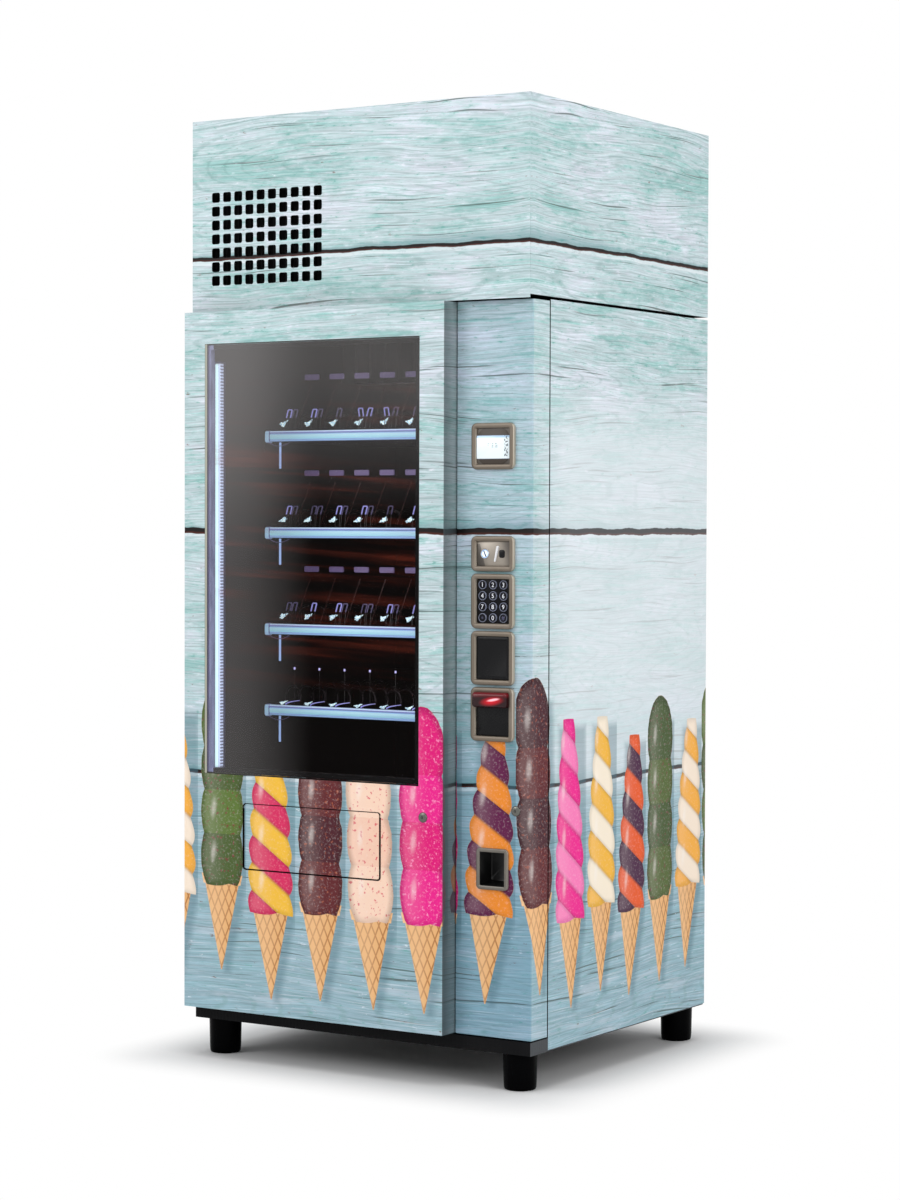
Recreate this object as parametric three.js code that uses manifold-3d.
// Glass-fronted ice cream vending machine: a refrigerated cabinet on four feet, one full-width door
// with a window and a payment column, four spiral trays, and a cooling unit in a housing on top.
// Millimetres, +Z up, the front faces -Y. The origin lies on the floor under the middle of the box.
import * as THREE from 'three';
import { mergeVertices } from 'three/addons/utils/BufferGeometryUtils.js';
import Module from 'manifold-3d';

const wasm = await Module();
wasm.setup();

// Driving dimensions of the whole machine
const width = 864;
const overallDepth = 816;
const seat = 0.3;               // clearance between pieces that rest on or sit in each other
const running = 0.5;            // clearance round a turning fan shaft
const overrun = 5;              // how far a cutting tool reaches past the face it cuts
const sheet = 2;                // steel sheet of skins, trays and panels

// Stack of heights
const footHeight = 78;
const plinthHeight = 28;
const doorFloorGap = 3;
const cabinetHeight = 1528;
const doorHeadGap = 3;
const housingGap = 6;
const housingHeight = 410;
const housingLip = { gap: 2, right: 19, radius: 3 };   // front edge brought down over the door's head

// Stack of depths, from the front
const lockProud = 4;
const doorThickness = 110;
const columnStep = 46;
const doorSealGap = 4;
const housingSetback = 30;
const plinthSetback = 43;

// Door
const columnWidth = 187;
const doorCornerRadius = 3;
const shadowGroove = { width: 4, depth: 5 };
const columnPan = { face: 3, wall: 18 };
const hinge = { inset: 12, pinRadius: 6, pinLength: 24, clearance: 0.4, plate: 5, plateLength: 70,
  plateWidth: 50, plateLead: 18, collarRadius: 10 };

// Window in the door
const glass = { left: 57, right: 61, belowDoorTop: 70, aboveFlap: 60, thickness: 24, rebate: 5 };
const lightBar = { width: 17, depth: 18, topMargin: 32, bottomMargin: 2, edgeRadius: 5, behindGlass: 3 };

// Collection flap and the bin behind it
const flap = { left: 160.5, toColumn: 155, bottom: 311, height: 145, thickness: 6, sideGap: 5,
  headGap: 2, footGap: 3, cornerRadius: 8, pinRadius: 3, pinLength: 10, pinDrop: 9, flange: 12 };
const gasket = { lip: 2, band: 14 };
const bin = { overhang: 9, depth: 88, drop: 22, rise: 35, sheet: 2 };

// Payment column: the modules sit one under another on its centre line
const bezel = { width: 103, cornerRadius: 12, proud: 9, edge: 2.5, rim: 11, recess: 6.5, neckInset: 8,
  neckDepth: 30 };
const moduleHeights = { display: 96, coin: 73, keypad: 113.5, card: 111.5, bill: 111.5 };
const moduleGap = 4.8;
const columnTopToDisplay = 251.5;
const displayToCoin = 137.1;
const displayScreen = { width: 84, height: 51, depth: 3 };
const coinPlate = { ringRadius: 10, ringProud: 2.5, slotWidth: 3, slotHeight: 12, slotDepth: 14,
  ringShare: 0.31, windowWidth: 13, windowHeight: 15, windowDepth: 3, windowShare: 0.645 };
const coinLever = { length: 34, width: 5, thickness: 4, tilt: 14, shaftRadius: 3, shaftDepth: 8,
  placeShare: 0.585 };
const keypad = { columns: 3, rows: 4, pitchX: 25.3, pitchZ: 22.8, keyRadius: 9.9, keyDepth: 6.2,
  keyProud: 2.2, keyTravel: 1.5, edge: 1 };
const billMouth = { width: 84, height: 31, proud: 12, slotHeight: 6, slotDepth: 60, slotInset: 6,
  edge: 4, below: 10 };
const billStacker = { width: 76, height: 150, depth: 110, gap: 6 };
const coinCup = { width: 76, height: 86, rim: 8, proud: 6, depth: 46, wall: 2, belowBill: 221.5,
  cornerRadius: 9, slope: 14 };
const cashLock = { dome: 10.75, barrel: 8, inset: 38.5, belowBill: 141.5, slotWidth: 2.4, slotLength: 11,
  slotDepth: 1.5, rimShare: 0.5, crownShare: 0.6,
  cam: { length: 15, width: 12, thickness: 3 } };
const windowLock = { inset: 49.5, bottom: 451.5, skin: 24, pocket: 30 };

// Cabinet walls and rooms
const wall = { chamber: 50, chamberToColumn: 55, partition: 42, service: 20, floor: 54, ceiling: 50, back: 50,
  serviceFloor: 34, serviceBack: 108 };
const skinDrop = 25;
const runner = { reach: 14, height: 22, thickness: 2, frontInset: 112, rearGap: 36 };

// Trays, counted from the top
const trayRiseShares = [0.7785, 0.5594, 0.3399, 0.155];
const tray = { frontInset: 104, sideGap: 10, rearGap: 32, railHeight: 24, railDepth: 15, railRadius: 5,
  laneCount: 8, edge: 4, divider: 30, dividerSheet: 1.5, hangerHeight: 60,
  hangerWidth: 6, hangerDepth: 26, hangerInset: 29 };
const motor = { width: 46, height: 84, depth: 34 };
const spiral = { turns: 5, stepsPerTurn: 8, sides: 5, wireRadius: 2.3, sideGap: 2.45, floorGap: 1,
  frontInset: 22, hubRadius: 9, hubLength: 14, tailShare: 0.25 };
const spiralLanes = [0, 2, 4, 6];

// Plinth and feet
const foot = { radius: 36, toeRadius: 34, chamfer: 6, soleRadius: 29, sideInset: 50, frontInset: 43,
  rearInset: 40, stemRadius: 7, stemLength: 16 };
const plinthBeam = 64;

// Top housing, with a front panel that holds the air grille
const collar = { inset: 22, width: 20 };
const housingFloor = 3;
const housingFlange = 15;
const grille = { columns: 10, rows: 7, pitch: 30.2, hole: 21.5, left: 53, top: 158 };
const outletHeight = 155;       // open part of the housing's back, under the roof sheet, for the warm air
const inlet = { width: 48, height: 28, depth: 20, wall: 2, right: 90, bottom: 60 };

// Cooling units: the condenser stands behind the air grille, the evaporator hangs from the ceiling
const condenser = { fins: 11, finSheet: 1.2, core: 14, width: 320, height: 250, depth: 40, frontGap: 28,
  left: 40, shroud: 44, fanRadius: 108, tipGap: 6, hubRadius: 24, hubLength: 22, blades: 5, bladeSheet: 2.5,
  bladePitch: 28, motorRadius: 30, motorLength: 52, arm: 12, armLap: 3, shaftRadius: 4 };
const evaporator = { fins: 11, finSheet: 1.2, core: 12, height: 92, depth: 60, frontGap: 300,
  left: 84, right: 88, shroud: 30, fanRadius: 38, tipGap: 4, hubRadius: 12, hubLength: 14, blades: 5,
  bladeSheet: 1.5, bladePitch: 28, motorRadius: 14, motorLength: 26, arm: 8, armLap: 2, shaftRadius: 2.5 };
const hubNoseShare = 0.8;
const compressor = { radius: 78, height: 205, waist: 8, dome: 46, flange: 5, flangeHeight: 8,
  footSpan: 210, footWidth: 50, footSheet: 4, footHeight: 20, right: 170, rear: 300,
  terminalWidth: 60, terminalHeight: 60, terminalDepth: 24 };

// Faces and levels worked out from the driving dimensions
const halfWidth = width / 2;
const backY = overallDepth / 2;
const windowFaceY = -overallDepth / 2 + lockProud;
const columnFaceY = windowFaceY + columnStep;
const doorRearY = windowFaceY + doorThickness;
const cabinetFrontY = doorRearY + doorSealGap;
const housingFrontY = windowFaceY + housingSetback;
const plinthFrontY = windowFaceY + plinthSetback;
const plinthTopZ = footHeight + plinthHeight;
const doorBottomZ = plinthTopZ + doorFloorGap;
const cabinetTopZ = plinthTopZ + cabinetHeight;
const doorTopZ = cabinetTopZ - doorHeadGap;
const housingBottomZ = cabinetTopZ + housingGap;
const overallHeight = housingBottomZ + housingHeight;
const columnLeftX = halfWidth - columnWidth;
const columnCentreX = (columnLeftX + halfWidth) / 2;
const chamberLeftX = -halfWidth + wall.chamber;
const chamberRightX = columnLeftX - wall.chamberToColumn;
const chamberFloorZ = plinthTopZ + wall.floor;
const chamberCeilingZ = cabinetTopZ - wall.ceiling;
const chamberBackY = backY - wall.back;
const hingeX = -halfWidth + hinge.inset;
const hingeY = doorRearY - hinge.inset;

const finish = {
  print: new THREE.MeshStandardMaterial({ color: 0xa9cfd0, roughness: 0.45, metalness: 0 }),
  frame: new THREE.MeshStandardMaterial({ color: 0x1c1c1e, roughness: 0.6, metalness: 0.3 }),
  footRubber: new THREE.MeshStandardMaterial({ color: 0x0a0a0a, roughness: 0.3, metalness: 0 }),
  liner: new THREE.MeshStandardMaterial({ color: 0x55585c, roughness: 0.5, metalness: 0.4 }),
  glass: new THREE.MeshStandardMaterial({ color: 0x3a3838, roughness: 0.05, metalness: 0 }),
  lamp: new THREE.MeshStandardMaterial({ color: 0xe4f6fa, roughness: 0.3, metalness: 0 }),
  bezel: new THREE.MeshStandardMaterial({ color: 0x8a7c6a, roughness: 0.4, metalness: 0.6 }),
  key: new THREE.MeshStandardMaterial({ color: 0xb9bcc8, roughness: 0.3, metalness: 0.8 }),
  steel: new THREE.MeshStandardMaterial({ color: 0xb5b8ba, roughness: 0.3, metalness: 0.9 }),
  tray: new THREE.MeshStandardMaterial({ color: 0x9fc4d8, roughness: 0.4, metalness: 0.3 }),
  seal: new THREE.MeshStandardMaterial({ color: 0x2a2a2a, roughness: 0.8, metalness: 0 }),
  aluminium: new THREE.MeshStandardMaterial({ color: 0xa8abad, roughness: 0.45, metalness: 0.9 }),
  black: new THREE.MeshStandardMaterial({ color: 0x101010, roughness: 0.5, metalness: 0.2 }),
  fan: new THREE.MeshStandardMaterial({ color: 0x222222, roughness: 0.5, metalness: 0 }),
};

// Turns that lay a shape drawn in u, v and raised along w into the machine's axes
const facingFront = new THREE.Matrix4().makeBasis(
  new THREE.Vector3(1, 0, 0), new THREE.Vector3(0, 0, 1), new THREE.Vector3(0, -1, 0));
const facingSide = new THREE.Matrix4().makeBasis(
  new THREE.Vector3(0, 1, 0), new THREE.Vector3(0, 0, 1), new THREE.Vector3(1, 0, 0));

// A closed solid from a geometry, with only its positions kept
function solid(geometry) {
  const bare = geometry.index ? geometry.toNonIndexed() : geometry.clone();
  bare.deleteAttribute('normal');
  bare.deleteAttribute('uv');
  const merged = mergeVertices(bare, 1e-4);
  return new wasm.Manifold(new wasm.Mesh({
    numProp: 3,
    vertProperties: new Float32Array(merged.attributes.position.array),
    triVerts: new Uint32Array(merged.index.array),
  }));
}

// The geometry of a finished solid
function shell(body) {
  const mesh = body.getMesh();
  const geometry = new THREE.BufferGeometry();
  geometry.setAttribute('position', new THREE.BufferAttribute(new Float32Array(mesh.vertProperties), 3));
  geometry.setIndex(new THREE.BufferAttribute(new Uint32Array(mesh.triVerts), 1));
  geometry.computeVertexNormals();
  return geometry;
}

function join(first, ...others) {
  return others.reduce((whole, part) => whole.add(part), first);
}

function cut(first, ...tools) {
  return tools.reduce((whole, tool) => whole.subtract(tool), first);
}

// A box from its two opposite corners
function block(x0, x1, y0, y1, z0, z1) {
  const geometry = new THREE.BoxGeometry(x1 - x0, y1 - y0, z1 - z0);
  geometry.translate((x0 + x1) / 2, (y0 + y1) / 2, (z0 + z1) / 2);
  return solid(geometry);
}

// A rounded rectangle as an outline for an extrusion
function roundedShape(u0, u1, v0, v1, radius) {
  const outline = new THREE.Shape();
  outline.moveTo(u0 + radius, v0);
  outline.lineTo(u1 - radius, v0);
  outline.absarc(u1 - radius, v0 + radius, radius, -Math.PI / 2, 0);
  outline.lineTo(u1, v1 - radius);
  outline.absarc(u1 - radius, v1 - radius, radius, 0, Math.PI / 2);
  outline.lineTo(u0 + radius, v1);
  outline.absarc(u0 + radius, v1 - radius, radius, Math.PI / 2, Math.PI);
  outline.lineTo(u0, v0 + radius);
  outline.absarc(u0 + radius, v0 + radius, radius, Math.PI, 1.5 * Math.PI);
  return outline;
}

// A square-cornered rectangle as an outline
function squareShape(u0, u1, v0, v1) {
  const outline = new THREE.Shape();
  outline.moveTo(u0, v0);
  outline.lineTo(u1, v0);
  outline.lineTo(u1, v1);
  outline.lineTo(u0, v1);
  return outline;
}

// An outline in x and z, extruded from the back face forwards
function frontPrism(outline, y0, y1, segments = 3) {
  const geometry = new THREE.ExtrudeGeometry(outline, {
    depth: y1 - y0, bevelEnabled: false, curveSegments: segments });
  geometry.applyMatrix4(facingFront);
  geometry.translate(0, y1, 0);
  return solid(geometry);
}

// An outline in y and z, extruded across the machine
function sidePrism(outline, x0, x1, segments = 3) {
  const geometry = new THREE.ExtrudeGeometry(outline, {
    depth: x1 - x0, bevelEnabled: false, curveSegments: segments });
  geometry.applyMatrix4(facingSide);
  geometry.translate(x0, 0, 0);
  return solid(geometry);
}

// An outline in x and y, extruded upwards
function uprightPrism(outline, z0, z1, segments = 3) {
  const geometry = new THREE.ExtrudeGeometry(outline, {
    depth: z1 - z0, bevelEnabled: false, curveSegments: segments });
  geometry.translate(0, 0, z0);
  return solid(geometry);
}

// A profile of radius and height turned round the upright axis
function turned(profile, segments) {
  const points = profile.map(([radius, height]) => new THREE.Vector2(radius, height));
  const geometry = new THREE.LatheGeometry(points, segments);
  geometry.rotateX(Math.PI / 2);
  return solid(geometry);
}

// The same profile turned round an axis that points to the front
function turnedForward(profile, segments) {
  const points = profile.map(([radius, forward]) => new THREE.Vector2(radius, forward));
  const geometry = new THREE.LatheGeometry(points, segments);
  geometry.rotateX(Math.PI);
  return solid(geometry);
}

// A round bar along the depth of the machine
function barAlongY(x, z, y0, y1, radius, segments) {
  const geometry = new THREE.CylinderGeometry(radius, radius, y1 - y0, segments);
  geometry.translate(x, (y0 + y1) / 2, z);
  return solid(geometry);
}

// A round bar across the width of the machine
function barAlongX(y, z, x0, x1, radius, segments) {
  const geometry = new THREE.CylinderGeometry(radius, radius, x1 - x0, segments);
  geometry.rotateZ(Math.PI / 2);
  geometry.translate((x0 + x1) / 2, y, z);
  return solid(geometry);
}

// A rounded plate whose front edge is chamfered: three rounded outlines stacked towards the front
function chamferedPlate(x0, x1, z0, z1, radius, backFaceY, frontFaceY, edge, cornerSteps = 3) {
  const levels = [
    { inset: 0, y: backFaceY },
    { inset: 0, y: frontFaceY + edge },
    { inset: edge, y: frontFaceY },
  ];
  const positions = [];
  const count = 4 * (cornerSteps + 1);
  for (const level of levels) {
    const corner = Math.max(radius - level.inset, radius / 4);
    const centres = [
      [x1 - level.inset - corner, z0 + level.inset + corner, -Math.PI / 2],
      [x1 - level.inset - corner, z1 - level.inset - corner, 0],
      [x0 + level.inset + corner, z1 - level.inset - corner, Math.PI / 2],
      [x0 + level.inset + corner, z0 + level.inset + corner, Math.PI],
    ];
    for (const [cx, cz, start] of centres) {
      for (let step = 0; step <= cornerSteps; step += 1) {
        const angle = start + (step / cornerSteps) * (Math.PI / 2);
        positions.push(cx + corner * Math.cos(angle), level.y, cz + corner * Math.sin(angle));
      }
    }
  }
  return stackedRings(positions, count, levels.length);
}

// Joins rings of equally many points into a closed solid with flat ends
function stackedRings(positions, count, rings) {
  const index = [];
  for (let ring = 0; ring + 1 < rings; ring += 1) {
    for (let i = 0; i < count; i += 1) {
      const next = (i + 1) % count;
      const a = ring * count + i;
      const b = ring * count + next;
      const c = (ring + 1) * count + next;
      const d = (ring + 1) * count + i;
      index.push(a, b, c, a, c, d);
    }
  }
  const last = (rings - 1) * count;
  for (let i = 1; i + 1 < count; i += 1) {
    index.push(0, i + 1, i);
    index.push(last, last + i, last + i + 1);
  }
  const geometry = new THREE.BufferGeometry();
  geometry.setAttribute('position', new THREE.BufferAttribute(new Float32Array(positions), 3));
  geometry.setIndex(index);
  return solid(geometry);
}

// Puts one named piece into a group
function place(parent, name, body, material, position = [0, 0, 0]) {
  const mesh = new THREE.Mesh(shell(body), material);
  mesh.name = name;
  mesh.position.set(...position);
  parent.add(mesh);
  return mesh;
}

// The welded plinth frame, with the lower hinge pin and its collar
function makePlinth() {
  const outline = new THREE.Shape();
  const skinX = halfWidth - sheet - seat;
  const shoulderY = cabinetFrontY - seat;
  outline.moveTo(-halfWidth, plinthFrontY);
  outline.lineTo(halfWidth, plinthFrontY);
  outline.lineTo(halfWidth, shoulderY);
  outline.lineTo(skinX, shoulderY);
  outline.lineTo(skinX, backY - sheet);
  outline.lineTo(-skinX, backY - sheet);
  outline.lineTo(-skinX, shoulderY);
  outline.lineTo(-halfWidth, shoulderY);
  outline.closePath();
  const gapFront = plinthFrontY + 2 * foot.radius;
  const gapBack = backY - sheet - 2 * foot.radius;
  outline.holes.push(roundedShape(-skinX + plinthBeam, -plinthBeam / 2, gapFront, gapBack, plinthBeam / 4));
  outline.holes.push(roundedShape(plinthBeam / 2, skinX - plinthBeam, gapFront, gapBack, plinthBeam / 4));
  const beams = uprightPrism(outline, footHeight, plinthTopZ);
  const pin = turned([
    [0, plinthTopZ - plinthHeight / 2],
    [hinge.collarRadius, plinthTopZ - plinthHeight / 2],
    [hinge.collarRadius, doorBottomZ - seat],
    [hinge.pinRadius, doorBottomZ - seat],
    [hinge.pinRadius, doorBottomZ + hinge.pinLength],
    [0, doorBottomZ + hinge.pinLength],
  ], 16).translate([hingeX, hingeY, 0]);
  const stemBores = footPlaces().map(([, x, y]) => turned([
    [0, footHeight - overrun],
    [foot.stemRadius + seat, footHeight - overrun],
    [foot.stemRadius + seat, footHeight + foot.stemLength + seat],
    [0, footHeight + foot.stemLength + seat],
  ], 8).translate([x, y, 0]));
  return cut(join(beams, pin), ...stemBores);
}

function footPlaces() {
  const x = halfWidth - foot.sideInset;
  const frontY = plinthFrontY + foot.frontInset;
  const rearY = backY - foot.rearInset;
  return [
    ['foot_front_left', -x, frontY],
    ['foot_front_right', x, frontY],
    ['foot_rear_left', -x, rearY],
    ['foot_rear_right', x, rearY],
  ];
}

// A levelling foot with its stem
function makeFoot() {
  return join(
    turned([
      [0, 0],
      [foot.soleRadius, 0],
      [foot.toeRadius, foot.chamfer],
      [foot.radius, footHeight - seat],
      [0, footHeight - seat],
    ], 16),
    turned([
      [0, footHeight / 2],
      [foot.stemRadius, footHeight / 2],
      [foot.stemRadius, footHeight + foot.stemLength],
      [0, footHeight + foot.stemLength],
    ], 8),
  );
}

// The insulated cabinet: cold chamber on the left, service room behind the payment column
function makeCabinet() {
  const bottom = plinthTopZ + seat;
  const skin = (x0) => block(x0, x0 + sheet, cabinetFrontY, backY, plinthTopZ - skinDrop, bottom + overrun);
  const serviceLeftX = chamberRightX + wall.partition;
  const serviceRightX = halfWidth - wall.service;
  let body = join(
    block(-halfWidth, halfWidth, cabinetFrontY, backY, bottom, cabinetTopZ),
    skin(-halfWidth),
    skin(halfWidth - sheet),
  );
  body = cut(
    body,
    block(chamberLeftX, chamberRightX, cabinetFrontY - overrun, chamberBackY, chamberFloorZ, chamberCeilingZ),
    block(serviceLeftX, serviceRightX, cabinetFrontY - overrun, backY - wall.serviceBack,
      plinthTopZ + wall.serviceFloor, cabinetTopZ - wall.serviceFloor),
  );
  return join(body, ...makeRunners(), makeUpperHinge());
}

// Angle runners on both chamber walls, one pair for each tray
function makeRunners() {
  const y0 = cabinetFrontY + runner.frontInset;
  return trayRails().flatMap((railZ) => {
    const top = railZ - tray.railHeight / 2 - seat;
    return [1, -1].map((side) => {
      const wallX = side > 0 ? chamberLeftX : chamberRightX;
      const outline = new THREE.Shape();
      outline.moveTo(wallX - side * overrun, top);
      outline.lineTo(wallX + side * runner.reach, top);
      outline.lineTo(wallX + side * runner.reach, top - runner.thickness);
      outline.lineTo(wallX + side * runner.thickness, top - runner.thickness);
      outline.lineTo(wallX + side * runner.thickness, top - runner.height);
      outline.lineTo(wallX - side * overrun, top - runner.height);
      outline.closePath();
      return frontPrism(outline, y0, chamberBackY - runner.rearGap);
    });
  });
}

// The upper hinge plate on the cabinet roof, with a pin that points down into the door
function makeUpperHinge() {
  const rootZ = cabinetTopZ - hinge.clearance;
  const plateY = hingeY - hinge.plateLead;
  const plate = block(-halfWidth + sheet, -halfWidth + hinge.plateWidth, plateY, plateY + hinge.plateLength,
    rootZ, rootZ + hinge.plate);
  const pin = turned([
    [0, doorTopZ - hinge.pinLength],
    [hinge.pinRadius, doorTopZ - hinge.pinLength],
    [hinge.pinRadius, rootZ + hinge.plate / 2],
    [0, rootZ + hinge.plate / 2],
  ], 16).translate([hingeX, hingeY, 0]);
  return join(plate, pin);
}

// The door leaf: a thick window part on the left and a shallower payment column on the right
function makeDoorLeaf(columnCuts) {
  const groove = shadowGroove.width;
  const outline = new THREE.Shape();
  outline.moveTo(-halfWidth + doorCornerRadius, windowFaceY);
  outline.lineTo(columnLeftX - doorCornerRadius, windowFaceY);
  outline.absarc(columnLeftX - doorCornerRadius, windowFaceY + doorCornerRadius, doorCornerRadius,
    -Math.PI / 2, 0);
  outline.lineTo(columnLeftX, columnFaceY + shadowGroove.depth);
  outline.lineTo(columnLeftX + groove, columnFaceY + shadowGroove.depth);
  outline.lineTo(columnLeftX + groove, columnFaceY);
  outline.lineTo(halfWidth - doorCornerRadius, columnFaceY);
  outline.absarc(halfWidth - doorCornerRadius, columnFaceY + doorCornerRadius, doorCornerRadius,
    -Math.PI / 2, 0);
  outline.lineTo(halfWidth, doorRearY);
  outline.lineTo(hingeX, doorRearY);
  outline.absarc(hingeX, hingeY, hinge.inset, Math.PI / 2, Math.PI);
  outline.lineTo(-halfWidth, windowFaceY + doorCornerRadius);
  outline.absarc(-halfWidth + doorCornerRadius, windowFaceY + doorCornerRadius, doorCornerRadius,
    Math.PI, 1.5 * Math.PI);
  const leaf = uprightPrism(outline, doorBottomZ, doorTopZ, 4);
  const pane = windowBox();
  const seatCut = block(pane.x0, pane.x1, windowFaceY - overrun, windowFaceY + glass.thickness + seat,
    pane.z0, pane.z1);
  const through = block(pane.x0 + glass.rebate, pane.x1 - glass.rebate, windowFaceY, doorRearY + overrun,
    pane.z0 + glass.rebate, pane.z1 - glass.rebate);
  const tunnel = frontPrism(
    roundedShape(flapBox.x0, flapBox.x1, flapBox.z0, flapBox.z1, flap.cornerRadius),
    windowFaceY - overrun, doorRearY + overrun);
  const flapPinBore = barAlongX(flapAxis.y, flapAxis.z, flapBox.x0 - flap.pinLength,
    flapBox.x1 + flap.pinLength, flap.pinRadius + hinge.clearance, 12);
  const pan = block(columnLeftX + columnPan.wall, halfWidth - columnPan.wall, columnFaceY + columnPan.face,
    doorRearY + overrun, doorBottomZ + columnPan.wall, doorTopZ - columnPan.wall);
  const boreRadius = hinge.pinRadius + hinge.clearance;
  const boreLength = hinge.pinLength + hinge.clearance + overrun;
  const boreBottoms = [doorBottomZ - overrun, doorTopZ - hinge.pinLength - hinge.clearance];
  const hingeBores = boreBottoms.map((z0) => turned([
    [0, z0],
    [boreRadius, z0],
    [boreRadius, z0 + boreLength],
    [0, z0 + boreLength],
  ], 16).translate([hingeX, hingeY, 0]));
  const lockAt = windowLockPlace();
  const lockBore = barAlongY(lockAt.x, lockAt.z, windowFaceY - overrun, doorRearY,
    cashLock.barrel + seat, 16);
  const lockPocket = block(lockAt.x - windowLock.pocket, lockAt.x + windowLock.pocket,
    windowFaceY + windowLock.skin, doorRearY + overrun,
    lockAt.z - windowLock.pocket, lockAt.z + windowLock.pocket);
  return cut(leaf, seatCut, through, tunnel, flapPinBore, pan, ...hingeBores, lockBore, lockPocket,
    ...columnCuts);
}

// Outer box of the glass opening in the door face
function windowBox() {
  return {
    x0: -halfWidth + glass.left,
    x1: columnLeftX - glass.right,
    z0: flapBox.z1 + glass.aboveFlap,
    z1: doorTopZ - glass.belowDoorTop,
  };
}

const flapBox = {
  x0: -halfWidth + flap.left,
  x1: columnLeftX - flap.toColumn,
  z0: doorBottomZ + flap.bottom,
  z1: doorBottomZ + flap.bottom + flap.height,
};
const flapAxis = { y: windowFaceY + flap.thickness, z: flapBox.z1 - flap.pinDrop };

function windowLockPlace() {
  return { x: columnLeftX - windowLock.inset, z: doorBottomZ + windowLock.bottom };
}

function cashLockPlace(bill) {
  return { x: halfWidth - cashLock.inset, z: bill.z0 - cashLock.belowBill };
}

// The sealed window unit, flush with the door face
function makeGlass() {
  const pane = windowBox();
  return chamferedPlate(pane.x0 + seat, pane.x1 - seat, pane.z0 + seat, pane.z1 - seat, seat,
    windowFaceY + glass.thickness, windowFaceY, seat / 2, 1);
}

// The magnetic seal round the cold chamber, on the back of the door
function makeGasket() {
  const x0 = chamberLeftX - gasket.lip;
  const x1 = chamberRightX + gasket.lip;
  const z0 = chamberFloorZ - gasket.lip;
  const z1 = chamberCeilingZ + gasket.lip;
  const outline = roundedShape(x0 - gasket.band, x1 + gasket.band, z0 - gasket.band, z1 + gasket.band,
    gasket.band);
  const mouth = block(x0, x1, doorRearY - overrun, cabinetFrontY + overrun, z0, z1);
  return cut(frontPrism(outline, doorRearY + seat, cabinetFrontY - seat), mouth);
}

// The light bar on the left reveal, a strip with a rounded inner edge
function makeLightBar() {
  const pane = windowBox();
  const x0 = pane.x0 + glass.rebate + seat;
  const y0 = windowFaceY + glass.thickness + lightBar.behindGlass;
  const y1 = y0 + lightBar.depth;
  const x1 = x0 + lightBar.width;
  const outline = new THREE.Shape();
  outline.moveTo(x0, y0);
  outline.lineTo(x1 - lightBar.edgeRadius, y0);
  outline.absarc(x1 - lightBar.edgeRadius, y0 + lightBar.edgeRadius, lightBar.edgeRadius, -Math.PI / 2, 0);
  outline.lineTo(x1, y1);
  outline.lineTo(x0, y1);
  outline.closePath();
  return uprightPrism(outline, pane.z0 + glass.rebate + lightBar.bottomMargin,
    pane.z1 - glass.rebate - lightBar.topMargin, 3);
}

// The push-in flap: a plate with stiffening returns, on two pins near its upper edge
function makeFlap() {
  const x0 = flapBox.x0 + flap.sideGap;
  const x1 = flapBox.x1 - flap.sideGap;
  const z0 = flapBox.z0 + flap.footGap;
  const z1 = flapBox.z1 - flap.headGap;
  const plate = chamferedPlate(x0, x1, z0, z1, flap.cornerRadius / 2, flapAxis.y, windowFaceY, seat * 2, 2);
  const sideReturn = (x) => block(x, x + sheet, flapAxis.y - flap.thickness / 2, flapAxis.y + flap.flange,
    z0 + flap.cornerRadius, flapAxis.z - flap.flange);
  const foldedFoot = block(x0 + flap.cornerRadius, x1 - flap.cornerRadius, flapAxis.y - flap.thickness / 2,
    flapAxis.y + flap.flange, z0 + flap.cornerRadius, z0 + flap.cornerRadius + sheet);
  const pin = barAlongX(flapAxis.y, flapAxis.z, flapBox.x0 - flap.pinLength + seat,
    flapBox.x1 + flap.pinLength - seat, flap.pinRadius, 12);
  return join(plate, sideReturn(x0 + flap.cornerRadius), sideReturn(x1 - flap.cornerRadius - sheet),
    foldedFoot, pin);
}

// The bin that catches what falls, hung on the back of the door behind the flap
function makeBin() {
  const x0 = flapBox.x0 - bin.overhang;
  const x1 = flapBox.x1 + bin.overhang;
  const y0 = doorRearY + seat;
  const y1 = y0 + bin.depth;
  const z0 = flapBox.z0 - bin.drop;
  const z1 = flapBox.z1 + bin.rise;
  const sideView = new THREE.Shape();
  sideView.moveTo(y0, z0);
  sideView.lineTo(y1 - bin.drop, z0);
  sideView.lineTo(y1, z0 + bin.drop);
  sideView.lineTo(y1, z1);
  sideView.lineTo(y0, z1);
  sideView.closePath();
  const hollow = new THREE.Shape();
  const inner = bin.drop - bin.sheet;
  hollow.moveTo(y0 - overrun, z0 + bin.sheet);
  hollow.lineTo(y1 - bin.sheet - inner, z0 + bin.sheet);
  hollow.lineTo(y1 - bin.sheet, z0 + bin.sheet + inner);
  hollow.lineTo(y1 - bin.sheet, z1 + overrun);
  hollow.lineTo(y0 - overrun, z1 + overrun);
  hollow.closePath();
  return cut(sidePrism(sideView, x0, x1), sidePrism(hollow, x0 + bin.sheet, x1 - bin.sheet));
}

// The vertical places of the payment modules, from the top of the column down
function modulePlaces() {
  const places = {};
  const displayTop = doorTopZ - columnTopToDisplay;
  places.display = { z1: displayTop, z0: displayTop - moduleHeights.display };
  let top = places.display.z0 - displayToCoin;
  for (const name of ['coin', 'keypad', 'card', 'bill']) {
    places[name] = { z1: top, z0: top - moduleHeights[name] };
    top = places[name].z0 - moduleGap;
  }
  for (const place of Object.values(places)) {
    place.x0 = columnCentreX - bezel.width / 2;
    place.x1 = columnCentreX + bezel.width / 2;
    place.centreZ = (place.z0 + place.z1) / 2;
  }
  return places;
}

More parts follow.
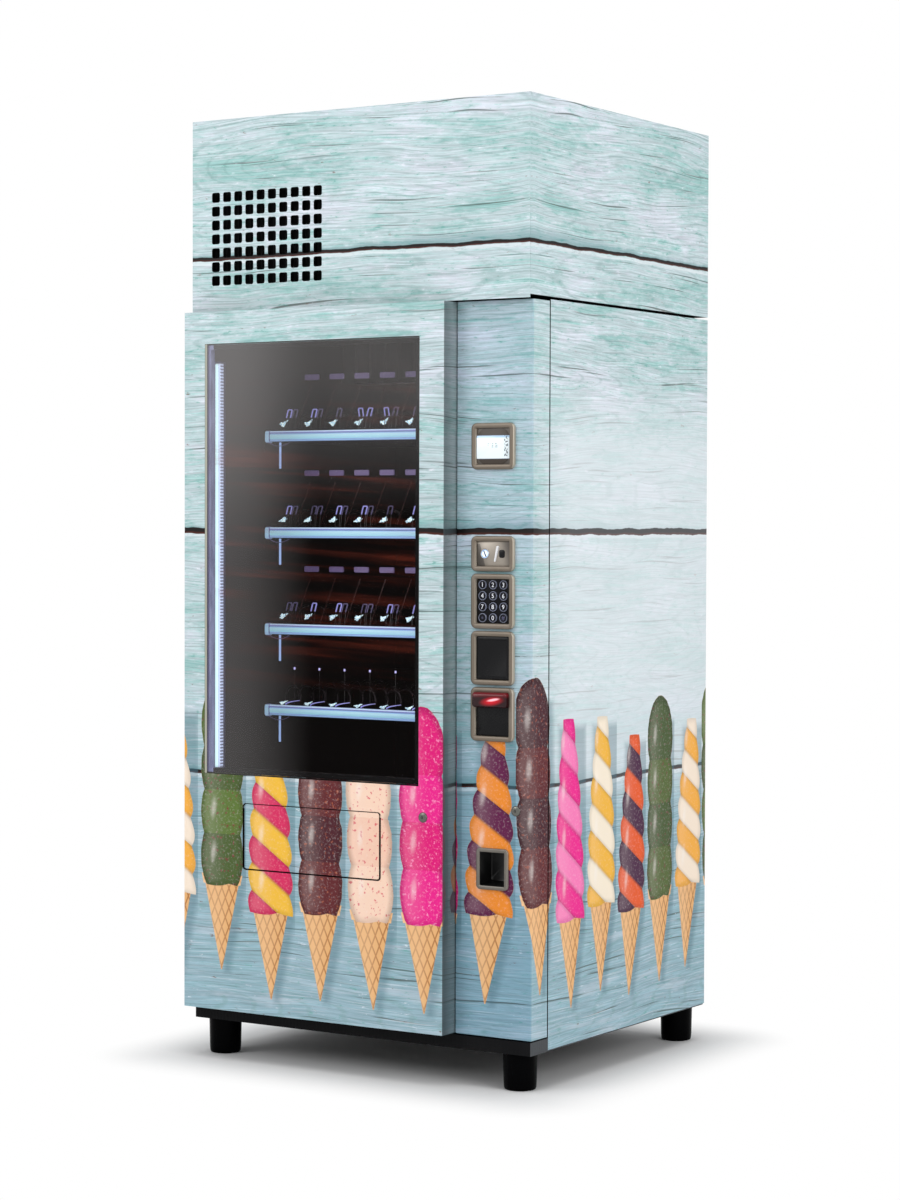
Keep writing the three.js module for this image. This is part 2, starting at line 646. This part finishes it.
// A module: a chamfered frame in front of the column face and a neck that passes through it
function makeBezel(at) {
  const frameSolid = chamferedPlate(at.x0, at.x1, at.z0, at.z1, bezel.cornerRadius, columnFaceY - seat,
    columnFaceY - bezel.proud, bezel.edge);
  const neck = block(at.x0 + bezel.neckInset, at.x1 - bezel.neckInset, columnFaceY - bezel.proud / 4,
    columnFaceY + bezel.neckDepth, at.z0 + bezel.neckInset, at.z1 - bezel.neckInset);
  return join(frameSolid, neck);
}

// The hole in the column face that a module's neck passes through
function neckHole(at) {
  return block(at.x0 + bezel.neckInset - seat, at.x1 - bezel.neckInset + seat, columnFaceY - overrun,
    columnFaceY + columnPan.face + overrun, at.z0 + bezel.neckInset - seat, at.z1 - bezel.neckInset + seat);
}

// The recess inside a bezel, as a cutting tool
function bezelRecess(at, depth = bezel.recess) {
  return frontPrism(
    roundedShape(at.x0 + bezel.rim, at.x1 - bezel.rim, at.z0 + bezel.rim, at.z1 - bezel.rim, bezel.rim / 4),
    columnFaceY - bezel.proud - overrun, columnFaceY - bezel.proud + depth);
}

function makeDisplay(at) {
  const halfW = displayScreen.width / 2;
  const halfH = displayScreen.height / 2;
  const dish = new THREE.Shape();
  dish.absellipse(columnCentreX, at.centreZ, halfW + displayScreen.depth, bezel.width / 2 - bezel.rim,
    0, 2 * Math.PI);
  const screenCut = block(columnCentreX - halfW, columnCentreX + halfW, columnFaceY - bezel.proud - overrun,
    columnFaceY - bezel.proud + bezel.recess, at.centreZ - halfH, at.centreZ + halfH);
  return cut(makeBezel(at), frontPrism(dish, columnFaceY - bezel.proud - overrun,
    columnFaceY - bezel.proud + displayScreen.depth, 12), screenCut);
}

function coinLeverPlace(at) {
  return { x: at.x0 + bezel.width * coinLever.placeShare, y: columnFaceY - bezel.proud + bezel.recess,
    z: at.centreZ };
}

function makeCoinModule(at) {
  const plateY = columnFaceY - bezel.proud + bezel.recess;
  const ringX = at.x0 + bezel.width * coinPlate.ringShare;
  const windowX = at.x0 + bezel.width * coinPlate.windowShare;
  const lever = coinLeverPlace(at);
  const ring = barAlongY(ringX, at.centreZ, plateY - coinPlate.ringProud, plateY + overrun,
    coinPlate.ringRadius, 20);
  const slot = block(ringX - coinPlate.slotWidth / 2, ringX + coinPlate.slotWidth / 2,
    plateY - overrun, plateY + coinPlate.slotDepth,
    at.centreZ - coinPlate.slotHeight / 2, at.centreZ + coinPlate.slotHeight / 2);
  const sight = block(windowX, windowX + coinPlate.windowWidth,
    plateY - overrun, plateY + coinPlate.windowDepth,
    at.centreZ - coinPlate.windowHeight / 2, at.centreZ + coinPlate.windowHeight / 2);
  const bore = barAlongY(lever.x, lever.z, plateY - overrun, plateY + coinLever.shaftDepth + seat,
    coinLever.shaftRadius + seat, 12);
  return cut(join(cut(makeBezel(at), bezelRecess(at)), ring), slot, sight, bore);
}

// The tilted return lever on its shaft, built round the shaft's axis
function makeCoinLever() {
  const outline = roundedShape(-coinLever.width / 2, coinLever.width / 2, -coinLever.length / 2,
    coinLever.length / 2, coinLever.width / 2 - seat);
  const bar = frontPrism(outline, -coinLever.thickness - seat, -seat, 3)
    .rotate([0, coinLever.tilt, 0]);
  const shaft = barAlongY(0, 0, -coinLever.thickness / 2, coinLever.shaftDepth, coinLever.shaftRadius, 12);
  return join(bar, shaft);
}

function keyPlaces(at) {
  const places = [];
  for (let row = 0; row < keypad.rows; row += 1) {
    for (let column = 0; column < keypad.columns; column += 1) {
      places.push({
        x: columnCentreX + (column - (keypad.columns - 1) / 2) * keypad.pitchX,
        z: at.centreZ - (row - (keypad.rows - 1) / 2) * keypad.pitchZ,
      });
    }
  }
  return places;
}

function makeKeypad(at) {
  const panelY = columnFaceY - bezel.proud + bezel.recess;
  const bores = keyPlaces(at).map(({ x, z }) => barAlongY(x, z, panelY - overrun,
    panelY + keypad.keyDepth - keypad.keyProud + keypad.keyTravel + seat, keypad.keyRadius + seat, 10));
  return cut(makeBezel(at), bezelRecess(at), ...bores);
}

// One round key with a chamfered front, built round its own axis with the panel face at zero
function makeKey() {
  const front = keypad.keyProud;
  return turnedForward([
    [0, front - keypad.keyDepth],
    [keypad.keyRadius, front - keypad.keyDepth],
    [keypad.keyRadius, front - keypad.edge],
    [keypad.keyRadius - keypad.edge, front],
    [0, front],
  ], 10);
}

function makeCardModule(at) {
  return cut(makeBezel(at), bezelRecess(at));
}

function billMouthBox(at) {
  const z1 = at.z1 - billMouth.below;
  return { x0: columnCentreX - billMouth.width / 2, x1: columnCentreX + billMouth.width / 2,
    z0: z1 - billMouth.height, z1 };
}

// The banknote reader: a lip that stands out of the bezel, and its stacker behind the door
function makeBillModule(at) {
  const mouth = billMouthBox(at);
  const plateY = columnFaceY - bezel.proud + bezel.recess;
  const lip = chamferedPlate(mouth.x0, mouth.x1, mouth.z0, mouth.z1, billMouth.edge, plateY + overrun,
    columnFaceY - bezel.proud - billMouth.proud, billMouth.edge);
  const neckBackY = columnFaceY + bezel.neckDepth;
  const stackerX = columnCentreX - billStacker.width / 2;
  const stacker = join(
    block(stackerX, stackerX + billStacker.width, neckBackY - overrun, neckBackY + 2 * billStacker.gap,
      at.z0 + bezel.neckInset, at.z1 - bezel.neckInset),
    block(stackerX, stackerX + billStacker.width, neckBackY + billStacker.gap, neckBackY + billStacker.depth,
      at.centreZ - billStacker.height / 2, at.centreZ + billStacker.height / 2),
  );
  const slotZ = (mouth.z0 + mouth.z1) / 2;
  const slot = block(mouth.x0 + billMouth.slotInset, mouth.x1 - billMouth.slotInset,
    columnFaceY - bezel.proud - billMouth.proud - overrun,
    columnFaceY - bezel.proud - billMouth.proud + billMouth.slotDepth,
    slotZ - billMouth.slotHeight / 2, slotZ + billMouth.slotHeight / 2);
  return cut(join(cut(makeBezel(at), bezelRecess(at)), lip, stacker), slot);
}

function coinCupBox(bill) {
  const z1 = bill.z0 - coinCup.belowBill;
  return { x0: columnCentreX - coinCup.width / 2, x1: columnCentreX + coinCup.width / 2,
    z0: z1 - coinCup.height, z1 };
}

// The open cup that returned coins fall into, with a floor that slopes to the front
function makeCoinCup(at) {
  const inner = coinCup.rim + coinCup.wall;
  const frontFaceY = columnFaceY - coinCup.proud;
  const backFaceY = columnFaceY + coinCup.depth;
  const rimPlate = chamferedPlate(at.x0, at.x1, at.z0, at.z1, coinCup.cornerRadius, columnFaceY - seat,
    frontFaceY, bezel.edge);
  const box = block(at.x0 + coinCup.rim, at.x1 - coinCup.rim, columnFaceY - coinCup.proud / 2, backFaceY,
    at.z0 + coinCup.rim, at.z1 - coinCup.rim);
  const hollow = new THREE.Shape();
  hollow.moveTo(frontFaceY - overrun, at.z0 + inner);
  hollow.lineTo(columnFaceY, at.z0 + inner);
  hollow.lineTo(backFaceY - coinCup.wall, at.z0 + inner + coinCup.slope);
  hollow.lineTo(backFaceY - coinCup.wall, at.z1 - inner);
  hollow.lineTo(frontFaceY - overrun, at.z1 - inner);
  hollow.closePath();
  return cut(join(rimPlate, box), sidePrism(hollow, at.x0 + inner, at.x1 - inner));
}

function coinCupHole(at) {
  return block(at.x0 + coinCup.rim - seat, at.x1 - coinCup.rim + seat, columnFaceY - overrun,
    columnFaceY + columnPan.face + overrun, at.z0 + coinCup.rim - seat, at.z1 - coinCup.rim + seat);
}

// A cam lock: domed head with a key slot, barrel, and a cam that hangs down from its inner end
function makeLock(skin) {
  const head = turnedForward([
    [0, -skin - cashLock.cam.thickness],
    [cashLock.barrel, -skin - cashLock.cam.thickness],
    [cashLock.barrel, seat],
    [cashLock.dome, seat],
    [cashLock.dome, lockProud * cashLock.rimShare],
    [cashLock.dome * cashLock.crownShare, lockProud],
    [0, lockProud],
  ], 14);
  const keySlot = block(-cashLock.slotWidth / 2, cashLock.slotWidth / 2, -lockProud - overrun,
    -lockProud + cashLock.slotDepth, -cashLock.slotLength / 2, cashLock.slotLength / 2);
  const cam = block(-cashLock.cam.width / 2, cashLock.cam.width / 2, skin + seat,
    skin + cashLock.cam.thickness, -cashLock.cam.length - cashLock.barrel, 0);
  return join(cut(head, keySlot), cam);
}

const trayBox = {
  x0: chamberLeftX + tray.sideGap,
  x1: chamberRightX - tray.sideGap,
  y0: cabinetFrontY + tray.frontInset,
  y1: chamberBackY - tray.rearGap - motor.depth,
};
const lanePitch = (trayBox.x1 - trayBox.x0 - 2 * tray.edge) / tray.laneCount;
const trayFloor = -tray.railHeight / 2;
const spiralRadius = lanePitch / 2 - tray.dividerSheet / 2 - spiral.sideGap - spiral.wireRadius;
const spiralAxisZ = trayFloor + sheet + spiral.floorGap + spiralRadius + spiral.wireRadius;

function laneX(lane) {
  return trayBox.x0 + tray.edge + (lane + 0.5) * lanePitch;
}

// The middle heights of the tray rails, between the top of the bin and the chamber ceiling
function trayRails() {
  const lowest = flapBox.z1 + bin.rise;
  return trayRiseShares.map((share) => lowest + share * (chamberCeilingZ - lowest));
}

// One spiral tray, built round the middle height of its front rail
function makeTray() {
  const railBackY = trayBox.y0 + tray.railDepth;
  const rail = sidePrism(
    roundedShape(trayBox.y0, railBackY, -tray.railHeight / 2, tray.railHeight / 2, tray.railRadius),
    trayBox.x0, trayBox.x1, 2);
  const hangers = [trayBox.x0 + tray.hangerInset, trayBox.x1 - tray.hangerInset - tray.hangerWidth]
    .map((x) => block(x, x + tray.hangerWidth, railBackY - sheet, railBackY - sheet + tray.hangerDepth,
      trayFloor - tray.hangerHeight, trayFloor + sheet / 2));
  return join(rail, makeLanes(railBackY - sheet), makeMotorBank(), ...hangers);
}

// The tray floor and its upright lane dividers, one folded profile carried along the depth
function makeLanes(y0) {
  const halfSheet = tray.dividerSheet / 2;
  const outline = new THREE.Shape();
  outline.moveTo(trayBox.x0, trayFloor);
  outline.lineTo(trayBox.x1, trayFloor);
  outline.lineTo(trayBox.x1, trayFloor + sheet);
  for (let edge = tray.laneCount; edge >= 0; edge -= 1) {
    const x = laneX(edge) - lanePitch / 2;
    outline.lineTo(x + halfSheet, trayFloor + sheet);
    outline.lineTo(x + halfSheet, trayFloor + tray.divider);
    outline.lineTo(x - halfSheet, trayFloor + tray.divider);
    outline.lineTo(x - halfSheet, trayFloor + sheet);
  }
  outline.lineTo(trayBox.x0, trayFloor + sheet);
  return frontPrism(outline, y0, trayBox.y1 - sheet / 2);
}

// The motor plate across the back of the tray, with one motor box behind each lane
function makeMotorBank() {
  const backY1 = trayBox.y1 + motor.depth;
  const rowY = trayBox.y1;
  const outline = new THREE.Shape();
  outline.moveTo(trayBox.x0, rowY - sheet);
  outline.lineTo(trayBox.x1, rowY - sheet);
  outline.lineTo(trayBox.x1, rowY);
  for (let lane = tray.laneCount - 1; lane >= 0; lane -= 1) {
    const x = laneX(lane);
    outline.lineTo(x + motor.width / 2, rowY);
    outline.lineTo(x + motor.width / 2, backY1);
    outline.lineTo(x - motor.width / 2, backY1);
    outline.lineTo(x - motor.width / 2, rowY);
  }
  outline.lineTo(trayBox.x0, rowY);
  return uprightPrism(outline, trayFloor, trayFloor + motor.height);
}

// The wire spiral: a helix of whole turns, its tail bent in to the hub that the motor drives.
// Built round its own axis, with the hub's back face at zero depth and the coil towards the front.
function makeSpiral() {
  const coilBack = -spiral.hubLength / 2;
  const coilFront = trayBox.y0 + spiral.frontInset - (trayBox.y1 - sheet - seat);
  const steps = spiral.turns * spiral.stepsPerTurn;
  const centres = [];
  for (let step = 0; step <= steps; step += 1) {
    const along = step / steps;
    const angle = along * spiral.turns * 2 * Math.PI;
    const grow = Math.min(1, spiral.tailShare + along * spiral.turns * 2 * (1 - spiral.tailShare));
    centres.push(new THREE.Vector3(
      spiralRadius * grow * Math.sin(angle),
      coilBack + (coilFront - coilBack) * along,
      -spiralRadius * grow * Math.cos(angle),
    ));
  }
  const positions = [];
  centres.forEach((centre, i) => {
    const before = centres[Math.max(i - 1, 0)];
    const after = centres[Math.min(i + 1, centres.length - 1)];
    const tangent = after.clone().sub(before).normalize();
    const outward = new THREE.Vector3(centre.x, 0, centre.z).normalize();
    const radial = outward.sub(tangent.clone().multiplyScalar(outward.dot(tangent))).normalize();
    const binormal = new THREE.Vector3().crossVectors(tangent, radial);
    for (let side = 0; side < spiral.sides; side += 1) {
      const turn = (side / spiral.sides) * 2 * Math.PI;
      const point = centre.clone()
        .addScaledVector(radial, spiral.wireRadius * Math.cos(turn))
        .addScaledVector(binormal, spiral.wireRadius * Math.sin(turn));
      positions.push(point.x, point.y, point.z);
    }
  });
  const wire = stackedRings(positions, spiral.sides, centres.length);
  const hub = barAlongY(0, 0, -spiral.hubLength, 0, spiral.hubRadius, 8);
  return { body: join(wire, hub), centres };
}

// The least gap of the wire to itself, between points more than half a turn apart
function leastWireGap(centres) {
  let least = Infinity;
  for (let i = 0; i < centres.length; i += 1) {
    for (let j = i + spiral.stepsPerTurn / 2 + 1; j < centres.length; j += 1) {
      least = Math.min(least, centres[i].distanceTo(centres[j]));
    }
  }
  return least - 2 * spiral.wireRadius;
}

// The housing on the roof: a folded shell on a recessed collar, open to the front and at its upper back
function makeHousing() {
  const y0 = housingFrontY + sheet + seat;
  const outer = block(-halfWidth, halfWidth, y0, backY, housingBottomZ, overallHeight);
  const inner = block(-halfWidth + sheet, halfWidth - sheet, y0 + sheet, backY - sheet,
    housingBottomZ + housingFloor, overallHeight - sheet);
  const mouth = block(-halfWidth + housingFlange, halfWidth - housingFlange,
    y0 - overrun, y0 + sheet + overrun,
    housingBottomZ + housingFloor + housingFlange, overallHeight - housingFlange);
  const collarX = halfWidth - collar.inset;
  const collarFront = cabinetFrontY + hinge.plateLength;
  const collarBack = backY - collar.inset;
  const ring = squareShape(-collarX, collarX, collarFront, collarBack);
  ring.holes.push(squareShape(-collarX + collar.width, collarX - collar.width, collarFront + collar.width,
    collarBack - collar.width));
  const base = uprightPrism(ring, cabinetTopZ + seat, housingBottomZ + housingFloor / 2);
  const outletTopZ = overallHeight - sheet;
  const outlet = block(-halfWidth + sheet, halfWidth - sheet, backY - sheet - overrun, backY + overrun,
    outletTopZ - outletHeight, outletTopZ);
  const socketX = halfWidth - inlet.right;
  const socketZ = housingBottomZ + inlet.bottom;
  const socket = block(socketX - inlet.width, socketX, backY - inlet.depth, backY - sheet / 2, socketZ,
    socketZ + inlet.height);
  const socketHollow = block(socketX - inlet.width + inlet.wall, socketX - inlet.wall,
    backY - inlet.depth + inlet.wall, backY + overrun,
    socketZ + inlet.wall, socketZ + inlet.height - inlet.wall);
  return cut(join(cut(outer, inner, mouth, outlet), base, socket), socketHollow);
}

// The front panel of the housing, with the air grille punched through it
function makeHousingFront() {
  const sheetAbove = block(-halfWidth, halfWidth, housingFrontY, housingFrontY + sheet,
    housingBottomZ, overallHeight);
  const lip = roundedShape(-halfWidth, halfWidth - housingLip.right, doorTopZ + housingLip.gap,
    housingBottomZ + housingLip.radius * 2, housingLip.radius);
  const squareLip = squareShape(-halfWidth, halfWidth - housingLip.right - housingLip.radius,
    doorTopZ + housingLip.gap, housingBottomZ + housingLip.radius);
  const panel = join(sheetAbove, frontPrism(lip, housingFrontY, housingFrontY + sheet),
    frontPrism(squareLip, housingFrontY, housingFrontY + sheet));
  const holes = [];
  for (let column = 0; column < grille.columns; column += 1) {
    for (let row = 0; row < grille.rows; row += 1) {
      const x = -halfWidth + grille.left + column * grille.pitch;
      const z = overallHeight - grille.top - row * grille.pitch;
      holes.push(block(x, x + grille.hole, housingFrontY - overrun, housingFrontY + sheet + overrun,
        z - grille.hole, z));
    }
  }
  return cut(panel, ...holes);
}

// A finned coil with a fan shroud behind it, a motor on three arms and the motor's shaft
function makeCoil(unit, x0, y0, z0) {
  const x1 = x0 + unit.width;
  const y1 = y0 + unit.depth;
  const z1 = z0 + unit.height;
  const comb = new THREE.Shape();
  const coreFront = y1 - unit.core;
  const pitch = (unit.width - unit.finSheet) / (unit.fins - 1);
  comb.moveTo(x0, y1);
  comb.lineTo(x0, y0);
  for (let i = 0; i + 1 < unit.fins; i += 1) {
    const x = x0 + i * pitch;
    comb.lineTo(x + unit.finSheet, y0);
    comb.lineTo(x + unit.finSheet, coreFront);
    comb.lineTo(x + pitch, coreFront);
    comb.lineTo(x + pitch, y0);
  }
  comb.lineTo(x1, y0);
  comb.lineTo(x1, y1);
  comb.closePath();
  const centreX = (x0 + x1) / 2;
  const centreZ = (z0 + z1) / 2;
  const shroudBack = y1 + unit.shroud;
  const casing = cut(
    block(x0, x1, y1 - sheet, shroudBack, z0, z1),
    block(x0 + sheet, x1 - sheet, y1 - sheet - overrun, shroudBack - sheet, z0 + sheet, z1 - sheet),
    barAlongY(centreX, centreZ, shroudBack - sheet - overrun, shroudBack + overrun,
      unit.fanRadius + unit.tipGap, 20),
  );
  const armLength = unit.fanRadius + unit.tipGap + unit.armLap;
  const arms = [0, 1, 2].map((i) => block(-unit.arm / 2, unit.arm / 2, 0, sheet, 0, armLength)
    .rotate([0, i * 120, 0]).translate([centreX, shroudBack - sheet / 2, centreZ]));
  const motorCan = barAlongY(centreX, centreZ, shroudBack - sheet / 2, shroudBack + unit.motorLength,
    unit.motorRadius, 16);
  const shaft = barAlongY(centreX, centreZ, shroudBack - unit.hubLength, shroudBack, unit.shaftRadius, 8);
  return join(uprightPrism(comb, z0, z1), casing, ...arms, motorCan, shaft);
}

// The place of a fan's hub: its back face just in front of the motor
function fanPlace(unit, x0, y0, z0) {
  return [x0 + unit.width / 2, y0 + unit.depth + unit.shroud - sheet / 2 - seat, z0 + unit.height / 2];
}

// A bladed fan on a bored hub, built round its own axis
function makeFan(unit) {
  const hub = turnedForward([
    [0, 0],
    [unit.hubRadius, 0],
    [unit.hubRadius, unit.hubLength * hubNoseShare],
    [unit.hubRadius * hubNoseShare, unit.hubLength],
    [0, unit.hubLength],
  ], 12);
  const blades = [];
  for (let i = 0; i < unit.blades; i += 1) {
    blades.push(block(-unit.bladeSheet / 2, unit.bladeSheet / 2, -unit.hubLength / 2, unit.hubLength / 2,
      unit.hubRadius * hubNoseShare, unit.fanRadius)
      .rotate([0, 0, 90 - unit.bladePitch])
      .translate([0, -unit.hubLength / 2, 0])
      .rotate([0, (i * 360) / unit.blades, 0]));
  }
  const bore = barAlongY(0, 0, -unit.hubLength + seat, overrun, unit.shaftRadius + running, 8);
  return cut(join(hub, ...blades), bore);
}

// The hermetic compressor: a domed can on a footed plate, with its terminal box
function makeCompressor() {
  const r = compressor.radius;
  const z0 = housingBottomZ + housingFloor + seat;
  const canBottom = z0 + compressor.footHeight;
  const seam = canBottom + compressor.height / 2;
  const can = turned([
    [0, canBottom],
    [r - compressor.dome, canBottom],
    [r - compressor.waist, canBottom + compressor.dome / 2],
    [r - compressor.waist, seam - compressor.flangeHeight / 2],
    [r - compressor.waist + compressor.flange, seam - compressor.flangeHeight / 2],
    [r - compressor.waist + compressor.flange, seam + compressor.flangeHeight / 2],
    [r - compressor.waist, seam + compressor.flangeHeight / 2],
    [r - compressor.waist, canBottom + compressor.height - compressor.dome],
    [r - compressor.dome / 2, canBottom + compressor.height - compressor.dome / 3],
    [r / 4, canBottom + compressor.height],
    [0, canBottom + compressor.height],
  ], 14);
  const span = compressor.footSpan / 2;
  const half = compressor.footWidth / 2;
  const plate = block(-span, span, -half, half, canBottom - compressor.footSheet / 2,
    canBottom + compressor.footSheet);
  const rubbers = [[-1, -1], [1, -1], [-1, 1], [1, 1]].map(([sx, sy]) => turned([
    [0, z0], [half / 3, z0], [half / 3, canBottom], [0, canBottom],
  ], 8).translate([sx * (span - half / 2), sy * half / 2, 0]));
  const terminalZ = seam + compressor.flangeHeight;
  const terminal = block(-compressor.terminalWidth / 2, compressor.terminalWidth / 2,
    -r - compressor.terminalDepth / 2, -r + compressor.terminalDepth,
    terminalZ, terminalZ + compressor.terminalHeight);
  return join(can, plate, ...rubbers, terminal)
    .translate([halfWidth - compressor.right, backY - compressor.rear, 0]);
}

// Assembly
const machine = new THREE.Group();
const modules = modulePlaces();
const columnLockAt = cashLockPlace(modules.bill);
const cupAt = coinCupBox(modules.bill);
const windowLockAt = windowLockPlace();

place(machine, 'base_frame', makePlinth(), finish.frame);
for (const [name, x, y] of footPlaces()) {
  place(machine, name, makeFoot(), finish.footRubber, [x, y, 0]);
}
place(machine, 'cabinet_body', makeCabinet(), finish.print);
place(machine, 'top_housing', makeHousing(), finish.print);
place(machine, 'housing_front_panel', makeHousingFront(), finish.print);

const door = new THREE.Group();
machine.add(door);
place(door, 'door_leaf', makeDoorLeaf([
  ...Object.values(modules).map(neckHole),
  coinCupHole(cupAt),
  barAlongY(columnLockAt.x, columnLockAt.z, columnFaceY - overrun, columnFaceY + columnPan.face + overrun,
    cashLock.barrel + seat, 16),
]), finish.print);
place(door, 'window_glass', makeGlass(), finish.glass);
place(door, 'door_gasket', makeGasket(), finish.seal);
place(door, 'light_bar', makeLightBar(), finish.lamp);
place(door, 'pickup_flap', makeFlap(), finish.print);
place(door, 'delivery_bin', makeBin(), finish.liner);
place(door, 'display_module', makeDisplay(modules.display), finish.bezel);
place(door, 'coin_module', makeCoinModule(modules.coin), finish.bezel);
const leverAt = coinLeverPlace(modules.coin);
place(door, 'coin_return_lever', makeCoinLever(), finish.steel, [leverAt.x, leverAt.y, leverAt.z]);
place(door, 'keypad_panel', makeKeypad(modules.keypad), finish.black);
const keyBody = makeKey();
keyPlaces(modules.keypad).forEach(({ x, z }, i) => {
  place(door, `key_${i + 1}`, keyBody, finish.key, [x, columnFaceY - bezel.proud + bezel.recess, z]);
});
place(door, 'card_module', makeCardModule(modules.card), finish.bezel);
place(door, 'bill_module', makeBillModule(modules.bill), finish.bezel);
place(door, 'coin_cup', makeCoinCup(cupAt), finish.bezel);
place(door, 'window_lock', makeLock(windowLock.skin), finish.steel,
  [windowLockAt.x, windowFaceY, windowLockAt.z]);
place(door, 'column_lock', makeLock(columnPan.face), finish.steel,
  [columnLockAt.x, columnFaceY, columnLockAt.z]);

const trayBody = makeTray();
const { body: spiralBody, centres: spiralCentres } = makeSpiral();
console.log(`least gap of a spiral's wire to itself: ${leastWireGap(spiralCentres).toFixed(1)} mm`);
trayRails().forEach((railZ, i) => {
  const level = new THREE.Group();
  level.position.z = railZ;
  machine.add(level);
  place(level, `tray_${i + 1}`, trayBody, finish.tray);
  for (const lane of spiralLanes) {
    place(level, `spiral_${i + 1}_${lane + 1}`, spiralBody, finish.steel,
      [laneX(lane), trayBox.y1 - sheet - seat, spiralAxisZ]);
  }
});

const condenserAt = [-halfWidth + condenser.left, housingFrontY + condenser.frontGap,
  housingBottomZ + housingFloor + seat];
place(machine, 'condenser', makeCoil(condenser, ...condenserAt), finish.aluminium);
place(machine, 'condenser_fan', makeFan(condenser), finish.fan, fanPlace(condenser, ...condenserAt));
place(machine, 'compressor', makeCompressor(), finish.black);

const evaporatorWidth = chamberRightX - evaporator.right - chamberLeftX - evaporator.left;
const evaporatorUnit = { ...evaporator, width: evaporatorWidth };
const evaporatorAt = [chamberLeftX + evaporator.left, cabinetFrontY + evaporator.frontGap,
  chamberCeilingZ - seat - evaporator.height];
place(machine, 'evaporator', makeCoil(evaporatorUnit, ...evaporatorAt), finish.aluminium);
place(machine, 'evaporator_fan', makeFan(evaporatorUnit), finish.fan,
  fanPlace(evaporatorUnit, ...evaporatorAt));

export default machine;
